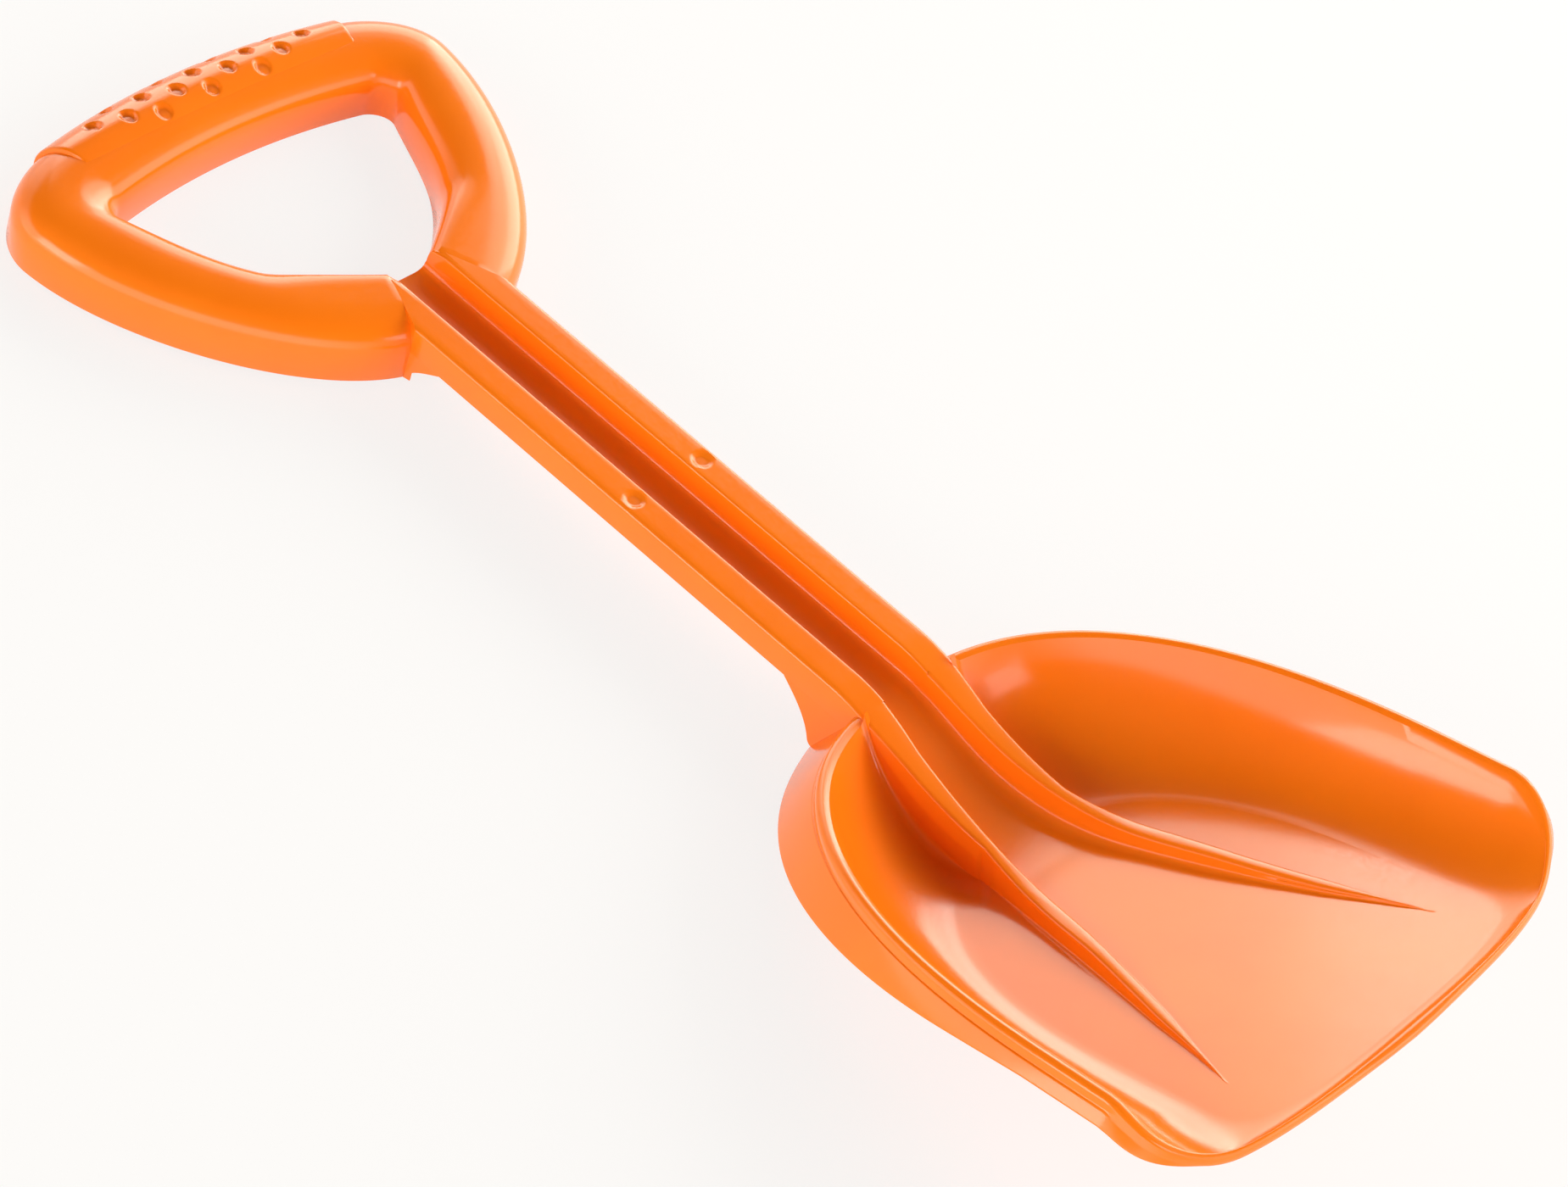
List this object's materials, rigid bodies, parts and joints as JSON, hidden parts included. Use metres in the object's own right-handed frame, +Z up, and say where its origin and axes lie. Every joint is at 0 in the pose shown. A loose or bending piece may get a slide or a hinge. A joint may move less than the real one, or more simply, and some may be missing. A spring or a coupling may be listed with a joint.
{
  "type": "sand shovel",
  "caption": "Child's sand shovel: round-backed scoop with a flared rim skirt and tapering ribs, a trough-shaped shaft and a D-shaped hand grip with a dimpled pad.",
  "frame": {"origin": "on the ground under the middle of the shovel as it lies: midway between nose and grip end, midway between the sides", "axes": "+Y from the blade's nose to the grip's end, +X to the right seen from behind the grip with the scoop up, +Z up from the ground it lies on"},
  "size_m": [0.1622, 0.3917, 0.05],
  "materials": {
    "orange_plastic": "glossy injection-moulded, self-coloured, with a very fine grain"
  },
  "bodies": {
    "root": {"blade_floor": "orange_plastic", "left_wall": "orange_plastic", "right_wall": "orange_plastic", "blade_ramp": "orange_plastic", "left_lip": "orange_plastic", "right_lip": "orange_plastic", "left_skirt": "orange_plastic", "right_skirt": "orange_plastic", "left_rib": "orange_plastic", "right_rib": "orange_plastic", "channel_floor": "orange_plastic", "left_rail": "orange_plastic", "right_rail": "orange_plastic", "left_heel_gusset": "orange_plastic", "right_heel_gusset": "orange_plastic", "left_grip_gusset": "orange_plastic", "right_grip_gusset": "orange_plastic", "left_arm": "orange_plastic", "right_arm": "orange_plastic", "crossbar": "orange_plastic", "grip_pad": "orange_plastic"}
  },
  "joints": []
}
